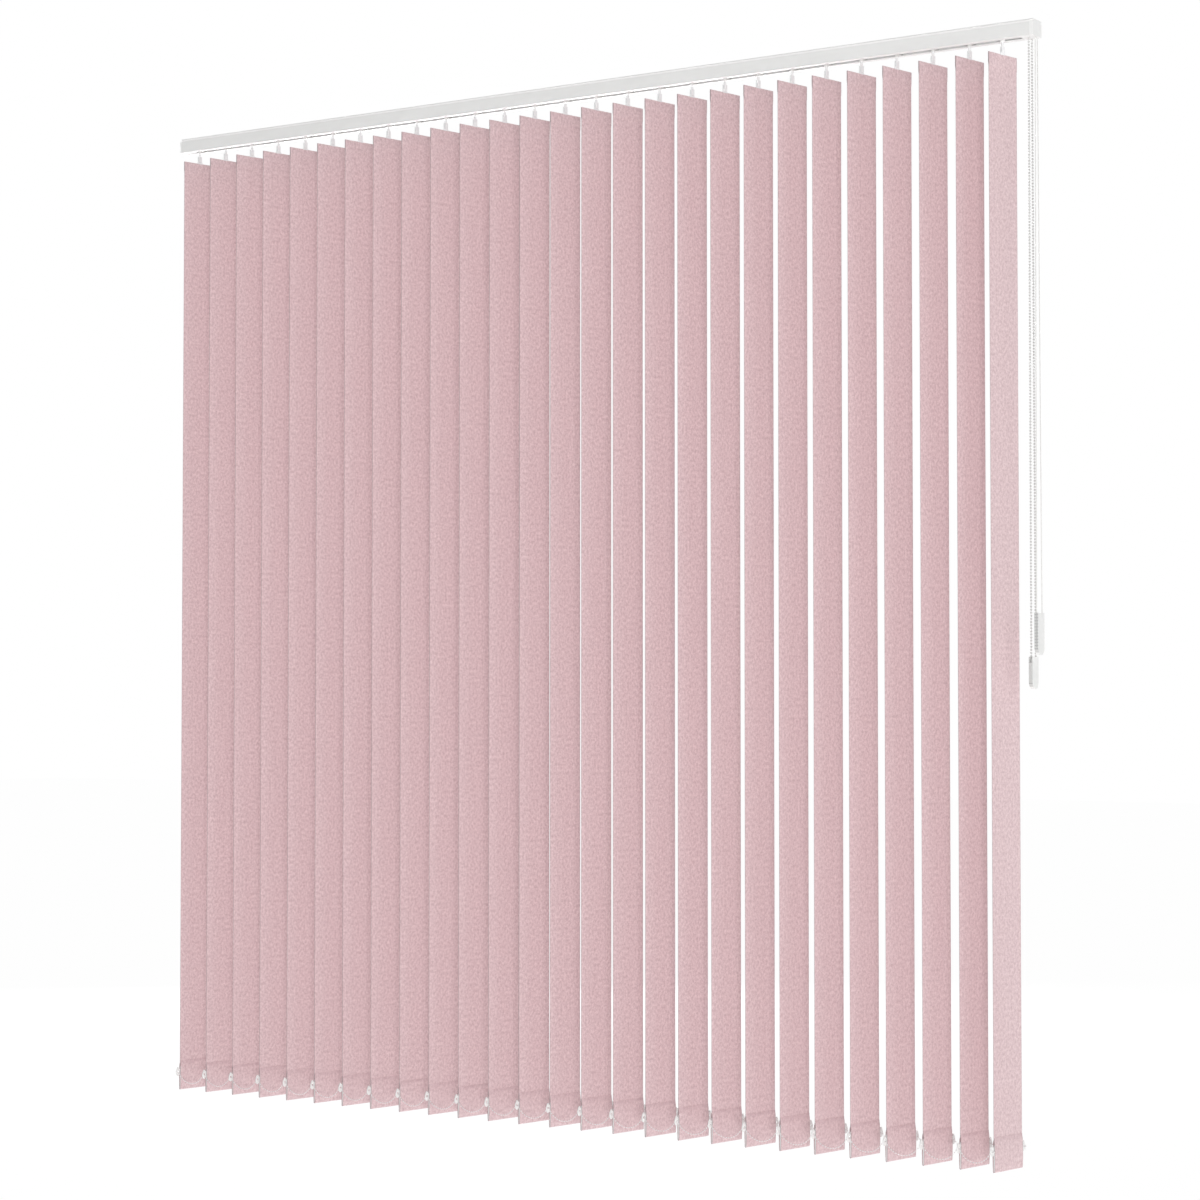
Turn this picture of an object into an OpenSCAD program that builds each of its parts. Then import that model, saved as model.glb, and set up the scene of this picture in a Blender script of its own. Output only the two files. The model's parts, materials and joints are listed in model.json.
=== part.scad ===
// Vertical blind with fabric vanes, hung from an extruded headrail.
// Frame: origin at the middle of the headrail's top face, +X along the rail towards
// the control end, -Y towards the room, +Z up. Sizes are in millimetres.

/* [Headrail] */
// Depth of the headrail, front to back
rail_d = 40; // [38:1:50]
// Height of the headrail
rail_h = 32; // [31:1:40]
// Wall thickness of the extrusion
rail_wall = 1.5; // [1.2:0.1:2]
// Outer corner radius of the extrusion
rail_r = 1.5; // [0.8:0.1:2.5]
// Thickness of the top flange, above the bracket grooves
lip_h = 2; // [1.6:0.1:2.6]
// Height of the bracket grooves along the front and the back
groove_h = 3.5; // [3:0.1:4]
// Depth of the bracket grooves
groove_d = 2.5; // [1.5:0.1:3]
// Width of the slot along the underside
slot_w = 18; // [16:1:24]

/* [Spacing] */
// Number of vanes
vane_count = 27; // [3:1:27]
// Distance between vanes
pitch = 80; // [70:1:84]
// Distance between the last two vanes, at the control end
end_pitch = 71; // [60:1:84]
// Distance from the idle end of the rail to the first vane
idle_margin = 44; // [42:1:60]
// Distance from the last vane to the control end of the rail
control_margin = 74; // [66:1:90]
// Angle between the vanes and the rail
tilt = 77; // [30:1:90]

/* [Vanes] */
// Width of a vane
vane_w = 89; // [84:1:100]
// Length of a vane
vane_l = 2180; // [1000:10:2400]
// Space between the headrail and the head of a vane
head_gap = 27; // [24:1:36]
// Thickness of the cloth
cloth_t = 0.6; // [0.4:0.1:1]
// Height of the hem at the head
hem_h = 26; // [24:1:34]
// Height of the pocket at the foot
pocket_h = 64; // [58:1:76]
// Height over which a hem or pocket closes on the cloth
seam_h = 6; // [4:1:8]

/* [Hangers and stems] */
// Width of the hanger plate in the head hem
hanger_w = 60; // [40:1:80]
// Thickness of the hanger plate
hanger_t = 1; // [0.8:0.1:1.6]
// Width of the hanger's ear where it leaves the cloth
ear_w = 15; // [13:1:20]
// Diameter of the stem
stem_d = 5; // [4.5:0.1:5.6]
// Width of the stem's fork
fork_w = 9; // [8:0.5:11]
// Thickness of the stem's fork
fork_t = 5; // [4.5:0.1:6]
// Height of the stem's fork
fork_h = 13; // [12:0.5:16]
// Diameter of the peg across the fork
peg_d = 3; // [2.4:0.1:3.4]

/* [Weights and bottom chains] */
// Thickness of a bottom weight
weight_t = 2.6; // [2:0.1:3]
// Height of a bottom weight
weight_h = 52; // [46:1:54]
// Height of the weight's rings above the foot of the vane
ring_z = 42; // [30:1:46]
// Distance from the edge of the vane to the middle of a ring
ring_reach = 5.5; // [5.2:0.1:7]
// Outer diameter of a ring
ring_d = 10; // [9:0.5:12]
// Diameter of the hole in a ring
ring_hole_d = 4.8; // [4.4:0.1:5.4]
// Thickness of the bottom chain between its beads
thread_d = 1.6; // [1.2:0.1:2]
// Width of the bottom chain's beads
link_bead_d = 3.2; // [2.6:0.1:3.6]
// Length of the bottom chain's beads
link_bead_l = 4; // [3:0.1:4.4]
// Distance between the bottom chain's beads
link_pitch = 6; // [5.5:0.1:10]
// Distance from a ring to the beads beside it
link_reach = 5; // [4.8:0.1:6]
// Radius of the bottom chain's turn over a ring
ring_turn_r = 5; // [4:0.5:7]
// Sag of the bottom chain between two vanes
chain_sag = 24; // [18:1:34]

/* [Carriers] */
// Length of a carrier along the rail
carrier_l = 14; // [12:0.5:16]
// Depth of a carrier, without its wheels
carrier_d = 28; // [26:1:30]
// Diameter of a carrier's wheel
wheel_d = 10; // [8:0.5:12]
// Diameter of the collar round the stem
collar_d = 10; // [8:0.5:12]
// Length of the collar below the headrail
collar_drop = 2; // [1:0.5:4]
// Diameter of the gear on the stem
gear_d = 7.8; // [7:0.1:8.4]
// Height of the gear on the stem
gear_h = 7.8; // [6:0.1:8.4]

/* [Tilt drive] */
// Diameter over the lobes of the tilt rod
rod_d = 5; // [4.4:0.1:5.6]
// Distance from the rail's top to the tilt rod
rod_drop = 16.5; // [16.3:0.1:17]
// Distance from the control end to the chain wheel
chain_inset = 18; // [16:0.5:24]
// Radius of the chain round its wheel
chain_turn_r = 7.5; // [6.5:0.1:7.7]
// Diameter of the tilt chain
chain_d = 4.5; // [4:0.1:4.6]
// Width of the chain wheel
chain_wheel_w = 6.4; // [6:0.1:7]
// Distance from the rail's top to the foot of the chain weight
chain_drop = 1306; // [600:10:1700]
// Height of the chain weight
chain_weight_h = 63; // [50:1:80]

/* [Traverse drive] */
// Diameter of the traverse cord
cord_d = 1.8; // [1.4:0.1:2]
// Distance from the rail's top to the cord's runs
cord_run_drop = 4.4; // [4.2:0.1:4.6]
// Distance from the control end to the hanging cord
cord_inset = 4; // [3.8:0.1:4.4]
// Sideways place of the cord's loop in the rail
cord_y = 4; // [0:0.5:5]
// Radius of the cord round its guide post
cord_turn_r = 5; // [4.5:0.1:6]
// Distance from the rail's top to the foot of the cord weight
cord_drop = 1240; // [600:10:1700]
// Height of the cord weight
cord_weight_h = 82; // [60:1:100]

/* [Loop weights] */
// Thickness of the weights that hang in the loops
loop_weight_t = 8; // [7.2:0.1:9]
// Wall round the chain or cord in its weight
loop_weight_wall = 1.2; // [0.8:0.1:2]
// Radius of the chain's turn in its weight
chain_weight_r = 10.5; // [9:0.5:14]
// Radius of the cord's turn in its weight
cord_weight_r = 13; // [10:0.5:16]
// Height of the openings at the top of the chain weight
mouth_h = 12; // [8:1:20]
// Distance between the grip grooves of the cord weight
grip_pitch = 6; // [4:0.5:8]
// Depth of the grip grooves
grip_depth = 0.6; // [0.3:0.1:0.7]

/* [End caps] */
// Thickness of the idle-end cap outside the rail
idle_cap_t = 4; // [3:0.5:6]
// Thickness of the control-end cap outside the rail
control_cap_t = 8; // [7.5:0.5:10]
// Length of the idle-end cap inside the rail
idle_plug_l = 24; // [20:1:26]
// Length of rail floor that gives way to the control unit
floor_cut_l = 24; // [22:1:30]

/* [Fits] */
// Gap between pieces that slide or turn loosely
loose = 0.3; // [0.2:0.05:0.4]
// Gap round a shaft in its bore
running = 0.08; // [0.05:0.01:0.1]
// Gap between a plate and the cloth round it
snug = 0.1; // [0.05:0.01:0.15]

/* [Hidden] */
$fn = 48;
rail_l = idle_margin + (vane_count - 2) * pitch + end_pitch + control_margin;
vane_numbers = [for (k = [1:vane_count]) k];
carrier_numbers = [for (k = [1:vane_count - 1]) k];

function numbered(base, k) = str(base, k < 10 ? "_0" : "_", k);
function vane_x(k) = -rail_l / 2 + idle_margin + min(k - 1, vane_count - 2) * pitch
    + (k == vane_count ? end_pitch : 0);

// Heights in the rail
floor_z = rail_wall - rail_h;
shoulder_z = -(lip_h + groove_h + rail_wall);
channel_w = rail_d - 2 * rail_wall;
neck_w = rail_d - 2 * groove_d;
upper_channel_w = neck_w - 2 * rail_wall;

// Heights and places in the carriers
carrier_top_z = shoulder_z - loose;
carrier_foot_z = floor_z + wheel_d / 4;
rod_z = -rod_drop;
gear_foot_z = rod_z - gear_h / 2;
gear_room_d = gear_d + 2 * loose;
gear_wall = 0.5;
rod_bore_d = rod_d + 4 * running;
rod_y = gear_room_d / 2 + gear_wall + rod_bore_d / 2;
cleat_w = cord_d + 2.6;
cleat_hole_d = cord_d + 2 * loose;

// Heights of a vane
vane_top_z = -(rail_h + head_gap);
vane_foot_z = vane_top_z - vane_l;
hem_t = hanger_t + 2 * (cloth_t + snug);
pocket_t = weight_t + 2 * (cloth_t + snug);
hanger_h = hem_h - seam_h - cloth_t - 2 * snug;
weight_foot_z = vane_foot_z + cloth_t + snug;
fork_foot_z = vane_top_z + 3;
fork_top_z = fork_foot_z + fork_h;
peg_z = fork_foot_z + fork_h * 0.45;
eye_d = peg_d + 2 * loose;
eye_z = peg_z - loose / 2;
ear_top_z = eye_z + eye_d / 2 + 2;
ear_tip_w = eye_d + 4;
ring_r = vane_w / 2 + ring_reach;

// Places of the drives at the control end
chain_x = rail_l / 2 - chain_inset;
cord_x = rail_l / 2 - cord_inset;
cord_z = -cord_run_drop;
cord_bend_r = cord_d * 2.2;
post_x = -rail_l / 2 + idle_cap_t + idle_plug_l / 2;
wheel_well_r = chain_turn_r + chain_d / 2 + loose;
chain_hole_d = chain_d + 4 * loose;
cord_hole_d = cord_d + 4 * loose;

aluminium = "#e6e6e4";
white_plastic = "#f2f2f0";
clear_plastic = "#e8eef0";
pink_cloth = "#dcbfc4";

// A flat profile drawn in Y and Z, drawn out along X
module along_x(length) {
    rotate([90, 0, 90]) linear_extrude(length) children();
}

// A flat profile drawn in X and Z, given a thickness along Y about Y = 0
module plate(thickness) {
    translate([0, thickness / 2, 0]) rotate([90, 0, 0]) linear_extrude(thickness) children();
}

// A round bar along X, between two places
module bar_x(d, x0, x1) {
    translate([x0, 0, 0]) rotate([0, 90, 0]) cylinder(d = d, h = x1 - x0);
}

// A rectangle with round corners, its top edge at y = 0
module rounded_face(w, h, r) {
    translate([-w / 2, -h + r]) square([w, h - 2 * r]);
    translate([-w / 2 + r, -h]) square([w - 2 * r, h]);
    for (x = [-1, 1], y = [-r, r - h]) translate([x * (w / 2 - r), y]) circle(r);
}

// An upright slot shape with round ends, its foot at y = 0
module stadium(w, h) {
    translate([-w / 2, w / 2]) square([w, h - w]);
    for (y = [w / 2, h - w / 2]) translate([0, y]) circle(d = w);
}

// Headrail

// The outline of the rail, with a groove for spring brackets in the front and the back
module rail_outline() {
    difference() {
        rounded_face(rail_d, rail_h, rail_r);
        for (side = [-1, 1])
            translate([side * rail_d / 2, -lip_h - groove_h / 2])
                square([2 * groove_d, groove_h], center = true);
    }
}

module rail_profile() {
    difference() {
        rail_outline();
        translate([-channel_w / 2, floor_z]) square([channel_w, shoulder_z - floor_z]);
        translate([-upper_channel_w / 2, floor_z]) square([upper_channel_w, -lip_h - floor_z]);
        translate([-slot_w / 2, -rail_h - 1]) square([slot_w, rail_wall + 2]);
    }
}

module headrail() {
    rail_x1 = rail_l / 2 - control_cap_t;
    color(aluminium) difference() {
        translate([-rail_l / 2 + idle_cap_t, 0, 0])
            along_x(rail_l - idle_cap_t - control_cap_t) rail_profile();
        // the floor is cut away under the chain wheel
        translate([rail_x1 - floor_cut_l, -channel_w / 2, -rail_h - 1])
            cube([floor_cut_l + 1, channel_w, rail_wall + 2]);
    }
}

// Carriers

// The rooms that a carrier leaves for the tilt rod and for the gear and stem of its vane
module carrier_rooms(length) {
    translate([0, rod_y, rod_z]) bar_x(rod_bore_d, -length, length);
    translate([0, 0, gear_foot_z - loose]) cylinder(d = gear_room_d, h = gear_h + 2 * loose);
    translate([0, 0, -rail_h - collar_drop - 1])
        cylinder(d = stem_d + 2 * running, h = rail_h + collar_drop + 1 + gear_foot_z);
}

module carrier_block() {
    translate([-carrier_l / 2, -carrier_d / 2, carrier_foot_z])
        cube([carrier_l, carrier_d, carrier_top_z - carrier_foot_z]);
    translate([0, 0, -rail_h - collar_drop])
        cylinder(d = collar_d, h = rail_h + collar_drop + carrier_foot_z + 1);
}

// Two wheels that roll on the rail's floor, on one axle
module carrier_wheels() {
    track = channel_w - 2 * loose;
    translate([0, track / 2, floor_z + loose + wheel_d / 2]) rotate([90, 0, 0])
        cylinder(d = wheel_d, h = track);
}

// A tab on the lead carrier that the traverse cord is tied to
module cord_cleat() {
    top_z = -lip_h - loose;
    translate([0, cord_y + cord_turn_r, 0]) difference() {
        translate([-carrier_l / 2, -cleat_w / 2, carrier_top_z - 1])
            cube([carrier_l, cleat_w, top_z - carrier_top_z + 1]);
        translate([0, 0, cord_z]) bar_x(cleat_hole_d, -carrier_l, carrier_l);
    }
}

module carrier(k) {
    color(white_plastic) translate([vane_x(k), 0, 0]) {
        difference() {
            union() {
                carrier_block();
                carrier_wheels();
                if (k == 1) cord_cleat();
            }
            carrier_rooms(carrier_l);
        }
    }
}

// Vanes, drawn across the rail and then turned to their angle

// The strip of cloth seen on its edge, with the hem and the pocket left open for their plates
module cloth_profile() {
    body = cloth_t / 2;
    hem = hem_t / 2;
    pocket = pocket_t / 2;
    hem_z = vane_top_z - hem_h;
    pocket_z = vane_foot_z + pocket_h;
    half = [[hem, vane_top_z], [hem, hem_z + seam_h], [body, hem_z],
            [body, pocket_z], [pocket, pocket_z - seam_h], [pocket, vane_foot_z]];
    difference() {
        polygon(concat(half, [for (i = [len(half) - 1:-1:0]) [-half[i][0], half[i][1]]]));
        translate([-hem_t / 2 + cloth_t, vane_top_z - hem_h + seam_h])
            square([hem_t - 2 * cloth_t, hem_h - seam_h - cloth_t]);
        translate([-pocket_t / 2 + cloth_t, vane_foot_z + cloth_t])
            square([pocket_t - 2 * cloth_t, weight_h + 2 * snug]);
    }
}

module cloth() {
    difference() {
        translate([-vane_w / 2, 0, 0]) along_x(vane_w) cloth_profile();
        // the cut in the fold that lets the hanger's ear out
        translate([-ear_w / 2 - loose, -hem_t, vane_top_z - cloth_t])
            cube([ear_w + 2 * loose, 2 * hem_t, 2 * cloth_t]);
    }
}

module hanger() {
    plate_z = vane_top_z - cloth_t - snug - hanger_h;
    plate(hanger_t) difference() {
        union() {
            translate([-hanger_w / 2, plate_z]) square([hanger_w, hanger_h]);
            polygon([[-ear_w / 2, vane_top_z - cloth_t - 1], [ear_w / 2, vane_top_z - cloth_t - 1],
                     [ear_w / 2, vane_top_z + 1], [ear_tip_w / 2, eye_z],
                     [ear_tip_w / 2 - 1, ear_top_z], [1 - ear_tip_w / 2, ear_top_z],
                     [-ear_tip_w / 2, eye_z], [-ear_w / 2, vane_top_z + 1]]);
        }
        translate([0, eye_z]) circle(d = eye_d);
    }
}

module stem() {
    slot_t = hanger_t + 2 * loose;
    translate([0, 0, gear_foot_z]) cylinder(d = gear_d, h = gear_h);
    translate([0, 0, fork_top_z - 1]) cylinder(d = stem_d, h = gear_foot_z - fork_top_z + 2);
    difference() {
        plate(fork_t) translate([0, fork_foot_z + fork_h])
            rounded_face(fork_w, fork_h, fork_w / 6);
        translate([-fork_w, -slot_t / 2, fork_foot_z - 1])
            cube([2 * fork_w, slot_t, ear_top_z + loose - fork_foot_z + 1]);
    }
    translate([0, fork_t / 2, peg_z]) rotate([90, 0, 0]) cylinder(d = peg_d, h = fork_t);
}

// A flat weight with a ring at each end that stands out of the pocket
module bottom_weight() {
    inset = 1;
    plate(weight_t) difference() {
        union() {
            translate([inset - vane_w / 2, weight_foot_z])
                square([vane_w - 2 * inset, weight_h]);
            for (side = [-1, 1]) {
                translate([side * ring_r, vane_foot_z + ring_z]) circle(d = ring_d);
                translate([side * (ring_r - ring_d / 2), vane_foot_z + ring_z])
                    square([ring_d, ring_d * 0.8], center = true);
            }
        }
        for (side = [-1, 1])
            translate([side * ring_r, vane_foot_z + ring_z]) circle(d = ring_hole_d);
    }
}

module vane(k) {
    translate([vane_x(k), 0, 0]) rotate([0, 0, tilt]) {
        color(pink_cloth) cloth();
        color(clear_plastic) hanger();
        color(clear_plastic) stem();
        color(white_plastic) bottom_weight();
    }
}

// Bottom chains

thread_z = vane_foot_z + ring_z - (ring_hole_d - thread_d) / 2 + 2 * loose;

// The chain runs over each ring in a tight turn and hangs in a wider arc between two rings.
// Both turn through the same angle, so the arcs meet without a corner.
function hang_angle(span) = 2 * atan(2 * chain_sag / span);
function hang_r(span) = span / (2 * sin(hang_angle(span))) - ring_turn_r;
function hang_length(span) = span / sin(hang_angle(span)) * hang_angle(span) * PI / 180;
function degrees_along(length, r) = length / r * 180 / PI;

// A place on the chain and the way up from it, at a length along from the ring before it
function hang_point(span, length) =
    let (turn_l = ring_turn_r * hang_angle(span) * PI / 180, left = hang_length(span) - length)
    length < turn_l ? over_ring(0, 90 - degrees_along(length, ring_turn_r))
    : left < turn_l ? over_ring(span, 90 + degrees_along(left, ring_turn_r))
    : let (r = hang_r(span), a = 270 - hang_angle(span) + degrees_along(length - turn_l, r))
        [[span / 2 + r * cos(a), r - chain_sag + r * sin(a)], [-cos(a), -sin(a)]];
function over_ring(x, a) =
    [[x + ring_turn_r * cos(a), ring_turn_r * (sin(a) - 1)], [cos(a), sin(a)]];

// Half the chain's width on a bead: offsets along the chain from the bead's middle, and widths
bead_steps = [[-link_bead_l / 2, thread_d / 2], [-link_bead_l / 4, link_bead_d / 2],
              [link_bead_l / 4, link_bead_d / 2], [link_bead_l / 2, thread_d / 2]];

// One edge of the chain between two rings, above its middle line (side 1) or below it (side -1)
function hanging_edge(span, side) =
    let (beaded_l = hang_length(span) - 2 * link_reach, gaps = round(beaded_l / link_pitch))
    [[snug / 2, side * thread_d / 2],
     for (i = [0:gaps], step = bead_steps)
        let (at = hang_point(span, link_reach + i * beaded_l / gaps + step[0]))
        at[0] + side * step[1] * at[1],
     [span - snug / 2, side * thread_d / 2]];

// One edge of the bead that keeps the end of the chain from slipping through its ring
function end_edge(side) = [[snug / 2, side * thread_d / 2],
    for (step = bead_steps) [link_reach + step[0], side * step[1]]];

// The chain between its upper and its lower edge
module chain_stretch(upper, lower) {
    plate(thread_d) polygon(concat(upper, [for (i = [len(lower) - 1:-1:0]) lower[i]]));
}

// side is -1 for the chain on the room side and 1 for the one on the window side
module bottom_chain(side) {
    color(white_plastic) translate([side * ring_r * cos(tilt), side * ring_r * sin(tilt), thread_z]) {
        for (k = carrier_numbers) {
            span = vane_x(k + 1) - vane_x(k);
            translate([vane_x(k), 0, 0])
                chain_stretch(hanging_edge(span, 1), hanging_edge(span, -1));
        }
        translate([vane_x(1), 0, 0]) mirror([1, 0, 0]) chain_stretch(end_edge(1), end_edge(-1));
        translate([vane_x(vane_count), 0, 0]) chain_stretch(end_edge(1), end_edge(-1));
    }
}

// Tilt drive

module rod_profile() {
    lobe_d = rod_d * 0.36;
    circle(d = rod_d * 0.76);
    for (turn = [90, 210, 330])
        rotate(turn) translate([(rod_d - lobe_d) / 2, 0]) circle(d = lobe_d);
}

// The rod turns in the idle-end cap and in the control unit, and carries the chain wheel
module tilt_rod() {
    x0 = -rail_l / 2 + idle_cap_t + idle_plug_l / 2;
    x1 = rail_l / 2 - control_cap_t + 2;
    color("silver") translate([0, rod_y, rod_z]) {
        translate([x0, 0, 0]) along_x(x1 - x0) rod_profile();
        translate([chain_x, 0, 0]) rotate([0, 90, 0]) difference() {
            cylinder(r = chain_turn_r + 1, h = chain_wheel_w, center = true);
            rotate_extrude() translate([chain_turn_r, 0]) circle(d = chain_d + 2 * loose);
        }
    }
}

// A round tube along a closed route of points
module closed_tube(route, d, sides = 8) {
    count = len(route);
    lean = [1, 1, 1];
    function along(i) = route[(i + 1) % count] - route[i];
    function unit(v) = v / norm(v);
    function heading(i) = unit(unit(along(i)) + unit(along((i + count - 1) % count)));
    function ring(i) = let (t = heading(i), u = unit(cross(t, lean)), v = cross(t, u))
        [for (s = [0:sides - 1]) route[i] + d / 2 * (cos(360 * s / sides) * u + sin(360 * s / sides) * v)];
    polyhedron(
        points = [for (i = [0:count - 1]) each ring(i)],
        faces = [for (i = [0:count - 1], s = [0:sides - 1], half = [0, 1])
            let (a = i * sides + s, b = i * sides + (s + 1) % sides,
                 c = (a + sides) % (count * sides), e = (b + sides) % (count * sides))
            half == 0 ? [a, c, b] : [b, c, e]]);
}

// Points on an arc in the Y and Z plane, from one angle to another
function arc_yz(x, y, z, r, from, to, steps) =
    [for (i = [0:steps]) let (a = from + (to - from) * i / steps) [x, y + r * cos(a), z + r * sin(a)]];
// Points on an arc in the X and Y plane
function arc_xy(x, y, z, r, from, to, steps) =
    [for (i = [0:steps]) let (a = from + (to - from) * i / steps) [x + r * cos(a), y + r * sin(a), z]];
// Points on an arc in the X and Z plane
function arc_xz(x, y, z, r, from, to, steps) =
    [for (i = [0:steps]) let (a = from + (to - from) * i / steps) [x + r * cos(a), y, z + r * sin(a)]];

// Over the wheel, straight down out of the rail, spreading to the weight and round in it
chain_straight_drop = 60;
chain_turn_z = -chain_drop + loop_weight_wall + chain_d / 2 + loose + chain_weight_r;
chain_route = concat(
    arc_yz(chain_x, rod_y, rod_z, chain_turn_r, 180, 0, 8),
    [[chain_x, rod_y + chain_turn_r, -chain_straight_drop],
     [chain_x, rod_y + chain_weight_r, -chain_drop + chain_weight_h]],
    arc_yz(chain_x, rod_y, chain_turn_z, chain_weight_r, 0, -180, 8),
    [[chain_x, rod_y - chain_weight_r, -chain_drop + chain_weight_h],
     [chain_x, rod_y - chain_turn_r, -chain_straight_drop]]);

// Width of the weight that hangs in a loop
function loop_weight_w(turn_r, d) = 2 * (turn_r + d / 2 + loose + loop_weight_wall);

// A flat weight with a channel for the loop that it hangs in. The loop's turn is its foot.
// Further cuts come as children, drawn about the middle of the weight.
module loop_weight(x, y, drop, height, turn_r, turn_z, d) {
    room_d = d + 2 * loose;
    w = loop_weight_w(turn_r, d);
    translate([x, y, 0]) difference() {
        translate([-loop_weight_t / 2, 0, -drop]) along_x(loop_weight_t) difference() {
            stadium(w, height + w / 2);
            translate([-w, height]) square([2 * w, w]);
        }
        translate([0, 0, turn_z]) rotate([90, 0, 90]) rotate([0, 0, 180])
            rotate_extrude(angle = 180) translate([turn_r, 0]) circle(d = room_d);
        for (side = [-1, 1]) translate([0, side * turn_r, turn_z - loose])
            cylinder(d = room_d + 2 * snug, h = height + loose);
        children();
    }
}

// The openings in the narrow faces of the chain weight where the beads run in
module chain_mouths() {
    room_d = chain_d + 2 * loose;
    reach = loop_weight_w(chain_weight_r, chain_d) / 2 + 1 - chain_weight_r;
    for (side = [-1, 1])
        translate([0, side * (chain_weight_r + reach / 2), -chain_drop + chain_weight_h - mouth_h / 2 + 1])
            cube([room_d, reach, mouth_h + 2], center = true);
}

module tilt_chain() {
    color(white_plastic) {
        closed_tube(chain_route, chain_d);
        loop_weight(chain_x, rod_y, chain_drop, chain_weight_h, chain_weight_r, chain_turn_z, chain_d)
            chain_mouths();
    }
}

// Traverse drive

// Along the rail to the guide post and back, down through the cap, and round in the weight
cord_straight_drop = 60;
cord_turn_z = -cord_drop + loop_weight_wall + cord_d / 2 + loose + cord_weight_r;
cord_route = concat(
    arc_xy(post_x, cord_y, cord_z, cord_turn_r, 270, 90, 8),
    arc_xz(cord_x - cord_bend_r, cord_y + cord_turn_r, cord_z - cord_bend_r, cord_bend_r, 90, 0, 4),
    [[cord_x, cord_y + cord_turn_r, -cord_straight_drop],
     [cord_x, cord_y + cord_weight_r, -cord_drop + cord_weight_h]],
    arc_yz(cord_x, cord_y, cord_turn_z, cord_weight_r, 0, -180, 8),
    [[cord_x, cord_y - cord_weight_r, -cord_drop + cord_weight_h],
     [cord_x, cord_y - cord_turn_r, -cord_straight_drop]],
    arc_xz(cord_x - cord_bend_r, cord_y - cord_turn_r, cord_z - cord_bend_r, cord_bend_r, 0, 90, 4));

// Grooves across the straight part of the cord weight's narrow faces and one down their middle,
// which leave two rows of small pads for the fingers
module grip_grooves() {
    w = loop_weight_w(cord_weight_r, cord_d);
    straight_h = cord_weight_h - w / 2;
    rows = floor(straight_h / grip_pitch);
    for (side = [-1, 1]) translate([0, side * w / 2, w / 2 - cord_drop]) {
        for (i = [0:rows - 1]) translate([0, 0, (i + 0.5) * grip_pitch])
            cube([loop_weight_t + 2, 2 * grip_depth, grip_pitch / 3], center = true);
        translate([-grip_pitch / 8, -grip_depth, 0]) cube([grip_pitch / 4, 2 * grip_depth, straight_h + 1]);
    }
}

module traverse_cord() {
    color(white_plastic) {
        closed_tube(cord_route, cord_d);
        loop_weight(cord_x, cord_y, cord_drop, cord_weight_h, cord_weight_r, cord_turn_z, cord_d)
            grip_grooves();
    }
}

// End caps

// Idle-end cap with the bearing of the tilt rod and the guide post of the traverse cord.
// It closes the rail below the bracket grooves.
module idle_cap() {
    face_top = shoulder_z + rail_wall / 2;
    plug_w = channel_w - 2 * loose;
    plug_top = carrier_top_z;
    x0 = -rail_l / 2;
    difference() {
        union() {
            translate([x0, 0, 0]) along_x(idle_cap_t)
                translate([0, face_top]) rounded_face(rail_d, rail_h + face_top, rail_r);
            translate([x0 + idle_cap_t - 1, -plug_w / 2, floor_z])
                cube([idle_plug_l + 1, plug_w, plug_top - floor_z]);
            translate([post_x, cord_y, plug_top - 1])
                cylinder(r = cord_turn_r - cord_d / 2 - loose / 2, h = -lip_h - loose - plug_top + 1);
        }
        translate([post_x - 1, rod_y, rod_z]) rotate([0, 90, 0])
            cylinder(d = rod_d + 2 * running, h = idle_plug_l);
    }
}

// Control unit: the fixed carrier of the last vane, the room of the chain wheel and the end cap,
// which has the whole outline of the rail
module control_unit() {
    x_cap = rail_l / 2 - control_cap_t;
    x_last = vane_x(vane_count);
    x_floor = x_cap - floor_cut_l;
    plug_w = channel_w - 2 * loose;
    well_w = chain_wheel_w + 2 * loose;
    difference() {
        union() {
            translate([x_last, 0, 0]) carrier_block();
            translate([x_last, -carrier_d / 2, carrier_foot_z])
                cube([x_cap - x_last + 1, carrier_d, carrier_top_z - carrier_foot_z]);
            translate([x_floor + loose, -plug_w / 2, floor_z])
                cube([floor_cut_l - loose + 1, plug_w, carrier_top_z - floor_z]);
            translate([x_floor + loose, -plug_w / 2, -rail_h])
                cube([floor_cut_l - loose + 1, plug_w, rail_wall + 1]);
            translate([x_cap, 0, 0]) along_x(control_cap_t) rail_outline();
        }
        translate([x_last, 0, 0]) carrier_rooms(x_cap + 3 - x_last);
        translate([chain_x, rod_y, rod_z])
            bar_x(2 * wheel_well_r, -well_w / 2, well_w / 2);
        for (side = [-1, 1]) {
            translate([chain_x, rod_y + side * chain_turn_r, -rail_h - 1])
                cylinder(d = chain_hole_d, h = rail_h + rod_z + 1);
            translate([cord_x, cord_y + side * cord_turn_r, -rail_h - 1])
                cylinder(d = cord_hole_d, h = rail_h + cord_z - cord_bend_r + 1);
            translate([x_cap - 1, cord_y + side * cord_turn_r - cord_hole_d / 2,
                       cord_z - 2 * cord_bend_r])
                cube([control_cap_t - cord_inset + cord_hole_d / 2 + 1, cord_hole_d,
                      2 * cord_bend_r + cord_hole_d / 2]);
        }
    }
}

module end_caps() {
    color(white_plastic) {
        idle_cap();
        control_unit();
    }
}

headrail();
end_caps();
tilt_rod();
tilt_chain();
traverse_cord();
bottom_chain(-1);  // bottom_chain_front
bottom_chain(1);  // bottom_chain_rear
for (k = carrier_numbers) carrier(k);
for (k = vane_numbers) vane(k);
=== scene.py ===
"""Vertical blind: 27 pink cloth vanes on carriers in a white headrail, with its two drives."""
import json
import math

import bmesh
import bpy
from mathutils import Matrix, Vector


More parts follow.
